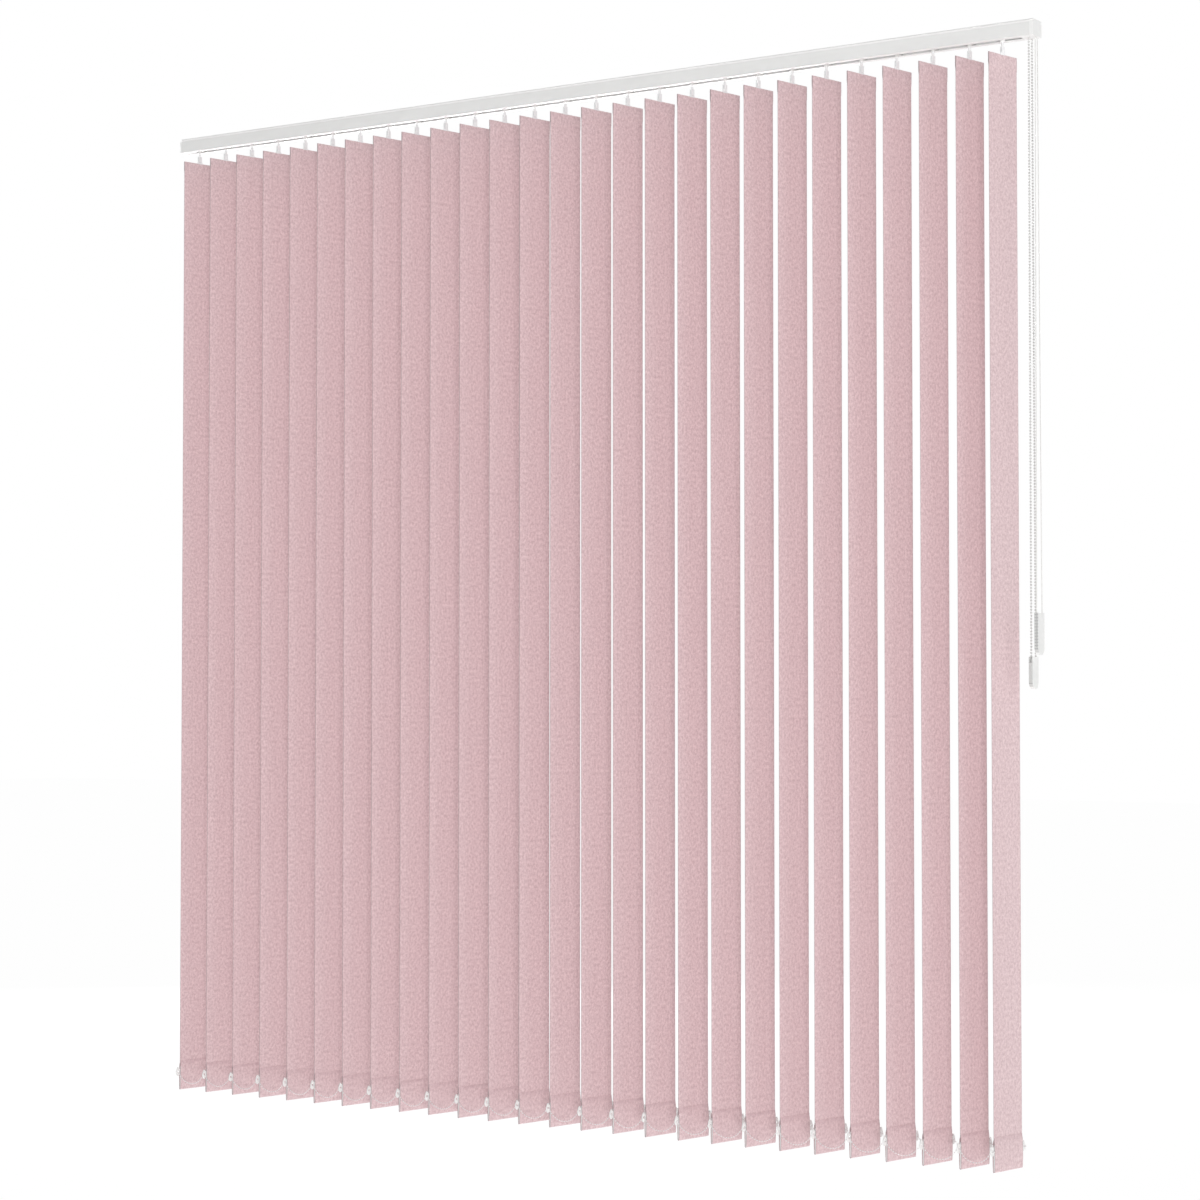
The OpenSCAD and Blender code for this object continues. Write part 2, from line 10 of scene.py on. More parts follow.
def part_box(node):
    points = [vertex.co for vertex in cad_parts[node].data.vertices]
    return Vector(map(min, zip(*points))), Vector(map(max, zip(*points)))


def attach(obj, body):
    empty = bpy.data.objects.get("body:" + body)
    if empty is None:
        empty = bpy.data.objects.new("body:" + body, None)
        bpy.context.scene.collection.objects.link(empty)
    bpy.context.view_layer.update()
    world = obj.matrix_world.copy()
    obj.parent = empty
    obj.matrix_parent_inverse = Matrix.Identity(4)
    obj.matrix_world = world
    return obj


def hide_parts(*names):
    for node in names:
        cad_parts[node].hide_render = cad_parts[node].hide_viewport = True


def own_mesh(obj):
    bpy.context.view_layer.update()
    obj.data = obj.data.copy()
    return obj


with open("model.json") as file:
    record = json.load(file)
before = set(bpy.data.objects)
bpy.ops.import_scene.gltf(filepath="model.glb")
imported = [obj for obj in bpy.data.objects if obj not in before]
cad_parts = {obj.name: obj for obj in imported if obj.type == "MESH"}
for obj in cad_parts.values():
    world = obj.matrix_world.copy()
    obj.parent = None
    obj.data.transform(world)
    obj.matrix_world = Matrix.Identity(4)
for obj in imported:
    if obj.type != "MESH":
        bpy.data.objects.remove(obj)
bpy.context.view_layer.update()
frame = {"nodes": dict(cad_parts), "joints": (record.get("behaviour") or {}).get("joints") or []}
scene = bpy.context.scene
scene.view_settings.view_transform = "Standard"

# Camera. It stands to the right of the blind, at about its middle height, and looks slightly up.
# Its place and lens follow from the lines of the rail and the vanes in the photograph.
CAMERA_AT = (3.2708, -4.9542, -1.3120)
CAMERA_YAW = 32.793
CAMERA_PITCH = 1.916
LENS_MM = 82.723
SENSOR_MM = 36
SEES_TO = 100

camera_data = bpy.data.cameras.new("camera")
camera_data.lens = LENS_MM
camera_data.sensor_width = SENSOR_MM
camera_data.clip_end = SEES_TO
camera = bpy.data.objects.new("camera", camera_data)
camera.location = CAMERA_AT
camera.rotation_euler = (math.radians(90 + CAMERA_PITCH), 0, math.radians(CAMERA_YAW))
scene.collection.objects.link(camera)
scene.camera = camera

# Studio. A pale, brightly lit floor under the hanging blind, an even white surround and three large
# soft lamps: one low behind the camera, one behind the blind and one at the control end.
FLOOR_Z = -3.2
FLOOR_HALF = 40
FLOOR_SHADE = 0.9
FLOOR_ROUGHNESS = 0.9
FLOOR_GLOW = 0.5
# The share of plain white in the floor that the camera sees. The rest keeps the blind's shadow.
CAMERA_WHITE = 0.94
SURROUND = 0.33
LAMPS_AIM = Vector((0, 0, -1.1))
# Each lamp's place, its size across and up, and its watts.
LAMPS = {
    "key_lamp": ((7.0, -9.8, -2.5), (4.0, 1.2), 500),
    "back_lamp": ((-7.0, 9.8, -1.6), (4.0, 1.8), 450),
    "side_lamp": ((6.0, -1.2, -0.6), (3.0, 3.0), 30),
}

floor_mesh = bpy.data.meshes.new("floor")
floor_mesh.from_pydata(
    [(x * FLOOR_HALF, y * FLOOR_HALF, FLOOR_Z) for x, y in ((-1, -1), (1, -1), (1, 1), (-1, 1))],
    [], [(0, 1, 2, 3)])
floor = bpy.data.objects.new("floor", floor_mesh)
scene.collection.objects.link(floor)


def seen_directly(nodes, links):
    """1 where a surface is seen by the camera, in a reflection or through clear plastic."""
    rays = nodes.new("ShaderNodeLightPath")
    total = rays.outputs["Is Camera Ray"]
    for name in ("Is Glossy Ray", "Is Transmission Ray"):
        larger = nodes.new("ShaderNodeMath")
        larger.operation = "MAXIMUM"
        links.new(total, larger.inputs[0])
        links.new(rays.outputs[name], larger.inputs[1])
        total = larger.outputs[0]
    return total


floor_finish = bpy.data.materials.new("pale_floor")
floor_finish.use_nodes = True
floor_nodes = floor_finish.node_tree.nodes
floor_links = floor_finish.node_tree.links
floor_paint = floor_nodes["Principled BSDF"]
floor_paint.inputs["Base Color"].default_value = (FLOOR_SHADE, FLOOR_SHADE, FLOOR_SHADE, 1)
floor_paint.inputs["Roughness"].default_value = FLOOR_ROUGHNESS
floor_paint.inputs["Emission Color"].default_value = (1, 1, 1, 1)
floor_paint.inputs["Emission Strength"].default_value = FLOOR_GLOW
floor_white = floor_nodes.new("ShaderNodeEmission")
floor_share = floor_nodes.new("ShaderNodeMath")
floor_share.operation = "MULTIPLY"
floor_share.inputs[1].default_value = CAMERA_WHITE
floor_mix = floor_nodes.new("ShaderNodeMixShader")
floor_links.new(seen_directly(floor_nodes, floor_links), floor_share.inputs[0])
floor_links.new(floor_share.outputs[0], floor_mix.inputs[0])
floor_links.new(floor_paint.outputs[0], floor_mix.inputs[1])
floor_links.new(floor_white.outputs[0], floor_mix.inputs[2])
floor_links.new(floor_mix.outputs[0], floor_nodes["Material Output"].inputs["Surface"])
floor_mesh.materials.append(floor_finish)

world = bpy.data.worlds.new("surround")
world.use_nodes = True
scene.world = world
sky_nodes = world.node_tree.nodes
sky_links = world.node_tree.links
sky_light = sky_nodes["Background"]
sky_light.inputs["Color"].default_value = (1, 1, 1, 1)
sky_light.inputs["Strength"].default_value = SURROUND
sky_seen = sky_nodes.new("ShaderNodeBackground")
sky_seen.inputs["Color"].default_value = (1, 1, 1, 1)
sky_mix = sky_nodes.new("ShaderNodeMixShader")
sky_links.new(seen_directly(sky_nodes, sky_links), sky_mix.inputs[0])
sky_links.new(sky_light.outputs[0], sky_mix.inputs[1])
sky_links.new(sky_seen.outputs[0], sky_mix.inputs[2])
sky_links.new(sky_mix.outputs[0], sky_nodes["World Output"].inputs["Surface"])

for lamp_name, (lamp_at, lamp_size, lamp_watts) in LAMPS.items():
    lamp_data = bpy.data.lights.new(lamp_name, "AREA")
    lamp_data.shape = "RECTANGLE"
    lamp_data.size = lamp_size[0]
    lamp_data.size_y = lamp_size[1]
    lamp_data.energy = lamp_watts
    lamp = bpy.data.objects.new(lamp_name, lamp_data)
    lamp.location = lamp_at
    lamp.rotation_euler = (LAMPS_AIM - lamp.location).to_track_quat("-Z", "Y").to_euler()
    scene.collection.objects.link(lamp)

# Headrail. An aluminium extrusion with a groove for spring brackets along its front and its back,
# powder coated white. The die leaves faint lines along its length. Its channel is painted a lighter
# white, as painted light where the channel would lie in shade.
MM = 0.001
RAIL_WHITE = (0.85, 0.85, 0.84)
RAIL_SHADE = (0.82, 0.82, 0.81)
CHANNEL_PAINTED_LIGHT = (0.96, 0.95, 0.95)
CHANNEL_PAINTED_LIGHT_DIM = (0.93, 0.92, 0.92)
CHANNEL_HALF = 18.6 * MM
CHANNEL_TOP = -1.4 * MM
CHANNEL_FOOT = -30.6 * MM
PAINT_CLOUDS = (9, 40, 40)
DIE_LINES = (1.5, 420, 420)
DIE_LINE_DEPTH = 0.02 * MM
PAINT_GRAIN = (900, 900, 900)
PAINT_GRAIN_DEPTH = 0.01 * MM


class Finish:
    """A shader with the piece's own coordinates, and noise that breaks up its colour and surface."""

    def __init__(self, name, roughness, metallic=0.0, source="Object"):
        self.material = bpy.data.materials.new(name)
        self.material.use_nodes = True
        self.nodes = self.material.node_tree.nodes
        self.links = self.material.node_tree.links
        self.shader = self.nodes["Principled BSDF"]
        self.shader.inputs["Roughness"].default_value = roughness
        self.shader.inputs["Metallic"].default_value = metallic
        self.place = self.nodes.new("ShaderNodeTexCoord").outputs[source]
        self.colour = None
        self.height = None

    def noise(self, per_metre, detail=3.0, roughness=0.6):
        """Noise with so many blotches to the metre along each axis."""
        mapping = self.nodes.new("ShaderNodeMapping")
        mapping.inputs["Scale"].default_value = per_metre
        texture = self.nodes.new("ShaderNodeTexNoise")
        texture.inputs["Scale"].default_value = 1.0
        texture.inputs["Detail"].default_value = detail
        texture.inputs["Roughness"].default_value = roughness
        self.links.new(self.place, mapping.inputs["Vector"])
        self.links.new(mapping.outputs["Vector"], texture.inputs["Vector"])
        return texture.outputs["Fac"]

    def shades(self, share, dark, light, low=0.35, high=0.65):
        """Turns a share from low to high into a colour from dark to light."""
        ramp = self.nodes.new("ShaderNodeValToRGB")
        ramp.color_ramp.elements[0].position = low
        ramp.color_ramp.elements[0].color = (*dark, 1)
        ramp.color_ramp.elements[1].position = high
        ramp.color_ramp.elements[1].color = (*light, 1)
        self.links.new(share, ramp.inputs["Fac"])
        self.paint(ramp.outputs["Color"])

    def paint(self, colour):
        """Makes a colour the one that shows, and the one that the next colour is laid over."""
        self.colour = colour
        self.links.new(colour, self.shader.inputs["Base Color"])

    def blend(self, share, colour, amount=1.0, kind="MIX"):
        """Lays another colour over what is there, as far as the share goes."""
        scaled = self.nodes.new("ShaderNodeMath")
        scaled.operation = "MULTIPLY"
        scaled.use_clamp = True
        scaled.inputs[1].default_value = amount
        mix = self.nodes.new("ShaderNodeMix")
        mix.data_type = "RGBA"
        mix.blend_type = kind
        self.links.new(share, scaled.inputs[0])
        self.links.new(scaled.outputs[0], mix.inputs["Factor"])
        self.links.new(self.colour, mix.inputs["A"])
        mix.inputs["B"].default_value = (*colour, 1)
        self.paint(mix.outputs["Result"])

    def relief(self, height, depth, strength=1.0):
        """Adds relief of that depth in metres on top of any that is there."""
        bump = self.nodes.new("ShaderNodeBump")
        bump.inputs["Strength"].default_value = strength
        bump.inputs["Distance"].default_value = depth
        self.links.new(height, bump.inputs["Height"])
        if self.height is not None:
            self.links.new(self.height, bump.inputs["Normal"])
        self.height = bump.outputs["Normal"]
        self.links.new(self.height, self.shader.inputs["Normal"])


def coat(node, finish):
    """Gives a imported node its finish."""
    mesh = frame["nodes"][node].data
    mesh.materials.clear()
    mesh.materials.append(finish.material)


def coat_zone(mesh, finish, inside):
    """Gives the faces that pass a test a finish of their own."""
    mesh.materials.append(finish.material)
    for face in mesh.polygons:
        if inside(face):
            face.material_index = len(mesh.materials) - 1


def in_channel(face):
    """Whether a face of the rail is inside its channel."""
    at = face.center
    return abs(at.y) < CHANNEL_HALF and CHANNEL_FOOT < at.z < CHANNEL_TOP


rail_paint = Finish("satin_white_paint", roughness=0.38)
rail_paint.shades(rail_paint.noise(PAINT_CLOUDS), RAIL_SHADE, RAIL_WHITE)
rail_paint.relief(rail_paint.noise(DIE_LINES, detail=2), DIE_LINE_DEPTH)
rail_paint.relief(rail_paint.noise(PAINT_GRAIN, detail=1), PAINT_GRAIN_DEPTH)
coat("headrail", rail_paint)

# Painted light: the faces inside the channel get a brighter white than the rail, in place of the light
# that hardly reaches them.
channel_painted_light = Finish("painted_light_channel_white", roughness=0.45)
channel_painted_light.shades(channel_painted_light.noise(PAINT_CLOUDS), CHANNEL_PAINTED_LIGHT_DIM, CHANNEL_PAINTED_LIGHT)
channel_painted_light.relief(channel_painted_light.noise(PAINT_GRAIN, detail=1), PAINT_GRAIN_DEPTH)
coat_zone(frame["nodes"]["headrail"].data, channel_painted_light, in_channel)

# End caps. White moulded plastic: a plain cap with the guide post of the cord at the idle end, and
# the control unit with the chain wheel's room and the last vane's carrier at the other.
CAP_WHITE = (0.92, 0.92, 0.91)
CAP_SHADE = (0.89, 0.89, 0.88)
CAP_CLOUDS = (60, 60, 60)
CAP_GRAIN = (1600, 1600, 1600)
CAP_GRAIN_DEPTH = 0.02 * MM

cap_plastic = Finish("moulded_white_plastic", roughness=0.42)
cap_plastic.shades(cap_plastic.noise(CAP_CLOUDS), CAP_SHADE, CAP_WHITE)
cap_plastic.relief(cap_plastic.noise(CAP_GRAIN, detail=2), CAP_GRAIN_DEPTH)
coat("end_caps", cap_plastic)

# Carriers and tilt rod. Nylon blocks on wheels that hold the stems of the vanes, and the lobed
# aluminium rod that runs through them all and turns them together.
NYLON_WHITE = (0.80, 0.80, 0.78)
NYLON_SHADE = (0.74, 0.74, 0.72)
NYLON_CLOUDS = (140, 140, 140)
NYLON_GRAIN = (1200, 1200, 1200)
NYLON_GRAIN_DEPTH = 0.02 * MM
ROD_LIGHT = (0.78, 0.78, 0.79)
ROD_DARK = (0.62, 0.62, 0.63)
DRAW_MARKS = (3, 900, 900)
DRAW_LINES = (4, 1800, 1800)
DRAW_LINE_DEPTH = 0.01 * MM

nylon = Finish("white_nylon", roughness=0.5)
nylon.shades(nylon.noise(NYLON_CLOUDS), NYLON_SHADE, NYLON_WHITE)
nylon.relief(nylon.noise(NYLON_GRAIN, detail=2), NYLON_GRAIN_DEPTH)
for node in frame["nodes"]:
    if node.startswith("carrier"):
        coat(node, nylon)

rod_metal = Finish("drawn_aluminium", roughness=0.34, metallic=1.0)
rod_metal.shades(rod_metal.noise(DRAW_MARKS, detail=2), ROD_DARK, ROD_LIGHT)
rod_metal.relief(rod_metal.noise(DRAW_LINES, detail=1), DRAW_LINE_DEPTH)
coat("tilt_rod", rod_metal)

# Hangers, stems and bottom weights. Each vane has a clear plate in its head hem, hung by its ear on
# the forked clear stem of the carrier, and a flat weight in its foot pocket with a clip at each end.
# A clip is the weight's ring with its rim drawn out upwards and downwards.
PATTERN_VANE = "vane_14"
TILT = math.radians(77)
VANE_W = 89 * MM
RING_R = 50 * MM
RING_ABOVE_FOOT = 42 * MM
RING_OUT_R = 5 * MM
RIM_R = 3.7 * MM
CLIP_TALL = 2.1
CLIP_TAPER = 0.5
WELD_GAP = 0.02 * MM
FLAT_WITHIN = math.radians(0.5)
ROUND_FROM = math.radians(50)
HANGER_ROUND = 0.15 * MM
STEM_ROUND = 0.2 * MM
WEIGHT_ROUND = 0.4 * MM
CLEAR_TINT = (0.98, 0.99, 0.99)
CLEAR_SHADE = (0.94, 0.95, 0.96)
CLEAR_SHARE = 0.1
CLEAR_IOR = 1.49
CLEAR_CLOUDS = (90, 90, 90)
CLEAR_RIPPLE = (700, 700, 700)
CLEAR_RIPPLE_DEPTH = 0.01 * MM
WEIGHT_WHITE = (0.92, 0.92, 0.91)
WEIGHT_SHADE = (0.87, 0.87, 0.86)
WEIGHT_CLOUDS = (120, 120, 120)
WEIGHT_GRAIN = (1400, 1400, 1400)
WEIGHT_GRAIN_DEPTH = 0.015 * MM

pivots = {j["child"]: Vector(j["pos_m"]) for j in frame["joints"] if j["name"].endswith("_tilt")}
vane_names = sorted(pivots)


def loose_parts(node):
    """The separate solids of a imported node, as welded bmeshes with flat faces made whole."""
    whole = bmesh.new()
    whole.from_mesh(frame["nodes"][node].data)
    bmesh.ops.remove_doubles(whole, verts=whole.verts, dist=WELD_GAP)
    whole.verts.index_update()
    part_of = [None] * len(whole.verts)
    parts = []
    for first in whole.verts:
        if part_of[first.index] is not None:
            continue
        part = bmesh.new()
        part_of[first.index] = part
        reached = [first]
        for vert in reached:
            for edge in vert.link_edges:
                other = edge.other_vert(vert)
                if part_of[other.index] is None:
                    part_of[other.index] = part
                    reached.append(other)
        parts.append(part)
    copies = [part_of[v.index].verts.new(v.co) for v in whole.verts]
    for face in whole.faces:
        part_of[face.verts[0].index].faces.new([copies[v.index] for v in face.verts])
    whole.free()
    for part in parts:
        bmesh.ops.dissolve_limit(part, angle_limit=FLAT_WITHIN, verts=part.verts, edges=part.edges)
    return parts


def heights(part):
    """The lowest and the highest place of a part."""
    levels = [v.co.z for v in part.verts]
    return min(levels), max(levels)


def add_piece(name, mesh, body, finish=None):
    """Links a finished mesh as a piece that rides on a body."""
    piece = bpy.data.objects.new(name, mesh)
    scene.collection.objects.link(piece)
    if finish is not None:
        mesh.materials.append(finish.material)
    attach(piece, body)
    return piece


def mesh_of(name, part, move=Vector((0, 0, 0)), crease=35):
    """A mesh from a bmesh, moved to its place and smooth apart from its creases."""
    mesh = bpy.data.meshes.new(name)
    part.to_mesh(mesh)
    mesh.transform(Matrix.Translation(move))
    mesh.shade_smooth()
    mesh.set_sharp_from_angle(angle=math.radians(crease))
    return mesh


def round_edges(piece, width):
    """Breaks a piece's sharp edges."""
    bevel = piece.modifiers.new("rounded_edges", "BEVEL")
    bevel.width = width
    bevel.segments = 2
    bevel.limit_method = "ANGLE"
    bevel.angle_limit = ROUND_FROM


def draw_out_clips(part, pivot, foot):
    """Draws the rims of a weight's rings out to tall clips that taper towards the head."""
    flat = Matrix.Rotation(-TILT, 4, "Z") @ Matrix.Translation((-pivot.x, 0, 0))
    for vert in part.verts:
        at = flat @ vert.co
        out = abs(at.x) - RING_R
        up = at.z - foot - RING_ABOVE_FOOT
        if abs(at.x) > VANE_W / 2 and math.hypot(out, up) > RIM_R:
            taper = 1 - CLIP_TAPER * max(up, 0) / RING_OUT_R
            at.x = math.copysign(RING_R + out * taper, at.x)
            at.z += up * (CLIP_TALL - 1)
            vert.co = flat.inverted() @ at


clear_plastic = Finish("clear_plastic", roughness=0.08)
clear_plastic.shades(clear_plastic.noise(CLEAR_CLOUDS), CLEAR_SHADE, CLEAR_TINT)
clear_plastic.relief(clear_plastic.noise(CLEAR_RIPPLE, detail=1), CLEAR_RIPPLE_DEPTH)
clear_plastic.shader.inputs["Transmission Weight"].default_value = CLEAR_SHARE
clear_plastic.shader.inputs["IOR"].default_value = CLEAR_IOR

weight_plastic = Finish("white_weight_plastic", roughness=0.35)
weight_plastic.shades(weight_plastic.noise(WEIGHT_CLOUDS), WEIGHT_SHADE, WEIGHT_WHITE)
weight_plastic.relief(weight_plastic.noise(WEIGHT_GRAIN, detail=2), WEIGHT_GRAIN_DEPTH)

vane_parts = sorted(loose_parts(PATTERN_VANE), key=lambda part: heights(part)[0])
cloth_part, weight_part = sorted(vane_parts[:2], key=lambda part: heights(part)[1], reverse=True)
hanger_part, stem_part = sorted(vane_parts[2:], key=lambda part: heights(part)[1])
foot_z, head_z = heights(cloth_part)
draw_out_clips(weight_part, pivots[PATTERN_VANE], foot_z)

hangers = {}
weights = {}
for vane in vane_names:
    number = vane[-2:]
    move = pivots[vane] - pivots[PATTERN_VANE]
    hangers[vane] = add_piece(f"hanger_{number}", mesh_of("hanger", hanger_part, move), vane,
                              clear_plastic)
    round_edges(hangers[vane], HANGER_ROUND)
    stem = add_piece(f"stem_{number}", mesh_of("stem", stem_part, move), vane,
                     clear_plastic)
    round_edges(stem, STEM_ROUND)
    weights[vane] = add_piece(f"weight_{number}", mesh_of("weight", weight_part, move), vane,
                              weight_plastic)
    round_edges(weights[vane], WEIGHT_ROUND)

# Vanes. Strips of stiffened mottled pink cloth, folded and welded to a hem round the hanger at the
# head and to a pocket round the weight at the foot. A grey band along their cut edges is painted shade.
CLOTH_T = 0.6 * MM
# From the middle of one layer to the middle of the other where the cloth is welded to itself.
LAP_T = 1.03 * CLOTH_T
HEM_H = 26 * MM
HEM_HALF = 0.9 * MM
POCKET_H = 64 * MM
POCKET_HALF = 1.7 * MM
POCKET_BULGE = 0.9 * MM
SEAM_H = 6 * MM
SEAM_FADE = 1 * MM
LAP_END = 3 * MM
EAR_CUT_HALF = 7.8 * MM
EDGE_BAND = 1.2 * MM
SIDE_COLUMN = 0.6
BODY_ROWS = 24
FOLD_STEPS = 6
# The row of the strip where the fold of the hem starts.
FOLD_ROW = 3
WALL_STEPS = 4
# Each vane bows a little in its own way: by the sine of so many radians times its number.
BOW = 0.6 * MM
BOW_TURN = 2.4
# How far along the pattern one vane's cloth is cut from the next one's, in metres.
CUT_SHIFT = 0.173
PINK_LIGHT = (0.90, 0.725, 0.735)
PINK_DARK = (0.64, 0.46, 0.48)
MOTTLE = (190, 150, 1)
MOTTLE_LOW = 0.36
MOTTLE_HIGH = 0.66
PINK_SPECK = (0.93, 0.82, 0.83)
SPECKS = (620, 460, 1)
SPECK_LOW = 0.56
SPECK_HIGH = 0.74
SPECK_AMOUNT = 0.55
SPECK_DEPTH = 0.12 * MM
STREAK_SHADE = (0.93, 0.90, 0.91)
STREAKS = (100, 6, 1)
THREADS = (1500, 1100, 1)
THREAD_DEPTH = 0.08 * MM
WELD_SHADE = (0.55, 0.38, 0.41)
WELD_AMOUNT = 0.3
# Painted shade along the cut edges of each vane.
EDGE_PAINTED_SHADE = (0.36, 0.31, 0.32)
EDGE_SHADE_AMOUNT = 0.7
CLOTH_SHEEN = 0.12
SHEEN_ROUGHNESS = 0.6


def folded_strip():
    """The cloth's middle line as thickness and height, from the end of the hem to that of the pocket.
    Each place also says how much of the weld is there."""
    hem_z = head_z - HEM_H
    pocket_z = foot_z + POCKET_H
    fold_z = head_z - CLOTH_T / 2 - HEM_HALF
    turn_z = foot_z + CLOTH_T / 2 + POCKET_HALF
    line = [(-LAP_T, hem_z - LAP_END, 0), (-LAP_T, hem_z, 0), (-HEM_HALF, hem_z + SEAM_H, 0)]
    for step in range(FOLD_STEPS + 1):
        a = math.pi * (1 - step / FOLD_STEPS)
        line.append((HEM_HALF * math.cos(a), fold_z + HEM_HALF * math.sin(a), 0))
    line += [(HEM_HALF, hem_z + SEAM_H, 0), (0, hem_z, 0), (0, hem_z - LAP_END, 0)]
    top = hem_z - LAP_END
    low = pocket_z + LAP_END
    line += [(0, top + (low - top) * i / BODY_ROWS, 0) for i in range(1, BODY_ROWS)]
    line += [(0, low + SEAM_FADE, 0), (0, low, 1), (0, pocket_z, 1)]
    wall_z = pocket_z - SEAM_H
    wall = []
    for i in range(WALL_STEPS + 1):
        bulge = POCKET_BULGE * math.sin(math.pi * i / WALL_STEPS)
        wall.append((POCKET_HALF + bulge, wall_z + (turn_z - wall_z) * i / WALL_STEPS, 0))
    line += wall
    for step in range(1, FOLD_STEPS):
        a = -math.pi * step / FOLD_STEPS
        line.append((POCKET_HALF * math.cos(a), turn_z + POCKET_HALF * math.sin(a), 0))
    line += [(-y, z, weld) for y, z, weld in reversed(wall)]
    return line + [(-LAP_T, pocket_z, 1), (-LAP_T, pocket_z + LAP_END, 1)]


def cloth_mesh(name, number, pivot):
    """A closed strip of cloth on its folded line, with the cut that lets the hanger's ear out.
    Gives the mesh and the length that the strip is cut to."""
    line = folded_strip()
    half = VANE_W / 2
    columns = [-half, EDGE_BAND - half, -SIDE_COLUMN * half, -EAR_CUT_HALF, 0, EAR_CUT_HALF,
               SIDE_COLUMN * half, half - EDGE_BAND, half]
    bow = BOW * math.sin(BOW_TURN * number)
    walls = []
    length = 0
    for i, (y, z, weld) in enumerate(line):
        before = line[max(i - 1, 0)]
        after = line[min(i + 1, len(line) - 1)]
        along = Vector((after[0] - before[0], after[1] - before[1])).normalized()
        out = Vector((along.y, -along.x)) * -CLOTH_T / 2
        if i:
            length += math.hypot(y - line[i - 1][0], z - line[i - 1][1])
        walls.append((y, z, weld, out, length))
    shape = bmesh.new()
    uv_map = shape.loops.layers.uv.new("cloth")
    edge_mark = shape.verts.layers.float.new("edge")
    weld_mark = shape.verts.layers.float.new("weld")
    place = Matrix.Translation(Vector((pivot.x, 0, 0))) @ Matrix.Rotation(TILT, 4, "Z")
    grid = {}
    for i, (y, z, weld, out, _) in enumerate(walls):
        swell = bow * math.sin(math.pi * (head_z - z) / (head_z - foot_z))
        for j, x in enumerate(columns):
            curl = swell * (1 - (x / half) ** 2)
            for side in (-1, 1):
                at = Vector((x, y + curl + side * out.x, z + side * out.y))
                vert = shape.verts.new(place @ at)
                vert[edge_mark] = 1.0 if abs(x) == half else 0.0
                vert[weld_mark] = weld
                grid[i, j, side] = vert

    def in_cut(i, j):
        """Whether a field of the grid is in the cut for the ear."""
        in_fold = FOLD_ROW <= i < FOLD_ROW + FOLD_STEPS
        return in_fold and abs(columns[j] + columns[j + 1]) / 2 < EAR_CUT_HALF

    def add(keys):
        """Adds a face and lays the pattern of the cloth on it."""
        face = shape.faces.new([grid[key] for key in keys])
        for loop, (i, j, _) in zip(face.loops, keys):
            loop[uv_map].uv = (columns[j] + half + number * CUT_SHIFT, walls[i][4])

    rows = len(walls) - 1
    across = len(columns) - 1
    for i in range(rows):
        for j in range(across):
            if in_cut(i, j):
                continue
            add([(i, j, 1), (i, j + 1, 1), (i + 1, j + 1, 1), (i + 1, j, 1)])
            add([(i, j, -1), (i + 1, j, -1), (i + 1, j + 1, -1), (i, j + 1, -1)])
            if j == 0 or in_cut(i, j - 1):
                add([(i, j, -1), (i, j, 1), (i + 1, j, 1), (i + 1, j, -1)])
            if j == across - 1 or in_cut(i, j + 1):
                add([(i, j + 1, 1), (i, j + 1, -1), (i + 1, j + 1, -1), (i + 1, j + 1, 1)])
            if i == 0 or in_cut(i - 1, j):
                add([(i, j, -1), (i, j + 1, -1), (i, j + 1, 1), (i, j, 1)])
            if i == rows - 1 or in_cut(i + 1, j):
                add([(i + 1, j, 1), (i + 1, j + 1, 1), (i + 1, j + 1, -1), (i + 1, j, -1)])
    unused = [v for v in shape.verts if not v.link_faces]
    bmesh.ops.delete(shape, geom=unused, context="VERTS")
    bmesh.ops.recalc_face_normals(shape, faces=shape.faces)
    mesh = mesh_of(name, shape, crease=60)
    shape.free()
    return mesh, length


vane_cloth = Finish("mottled_pink_cloth", roughness=0.85, source="UV")
mottle = vane_cloth.noise(MOTTLE, detail=5, roughness=0.7)
streaks = vane_cloth.noise(STREAKS, detail=3)
specks = vane_cloth.noise(SPECKS, detail=2)
threads = vane_cloth.noise(THREADS, detail=2)
speck_share = vane_cloth.nodes.new("ShaderNodeMapRange")
speck_share.inputs["From Min"].default_value = SPECK_LOW
speck_share.inputs["From Max"].default_value = SPECK_HIGH
vane_cloth.links.new(specks, speck_share.inputs["Value"])
vane_cloth.shades(mottle, PINK_DARK, PINK_LIGHT, MOTTLE_LOW, MOTTLE_HIGH)
vane_cloth.blend(speck_share.outputs["Result"], PINK_SPECK, SPECK_AMOUNT)
vane_cloth.blend(streaks, STREAK_SHADE, kind="MULTIPLY")
# The weld mark darkens the welded seams; the edge mark lays painted shade along the cut edges.
for mark, shade, amount in (("weld", WELD_SHADE, WELD_AMOUNT), ("edge", EDGE_PAINTED_SHADE, EDGE_SHADE_AMOUNT)):
    attribute = vane_cloth.nodes.new("ShaderNodeAttribute")
    attribute.attribute_name = mark
    vane_cloth.blend(attribute.outputs["Fac"], shade, amount)
vane_cloth.relief(specks, SPECK_DEPTH, strength=0.7)
vane_cloth.relief(threads, THREAD_DEPTH, strength=0.6)
vane_cloth.shader.inputs["Sheen Weight"].default_value = CLOTH_SHEEN
vane_cloth.shader.inputs["Sheen Roughness"].default_value = SHEEN_ROUGHNESS

for number, vane in enumerate(vane_names, 1):
    cloth_name = f"cloth_{vane[-2:]}"
    mesh, cut_length = cloth_mesh(cloth_name, number, pivots[vane])
    cloth = add_piece(cloth_name, mesh, vane, vane_cloth)
    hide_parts(vane)

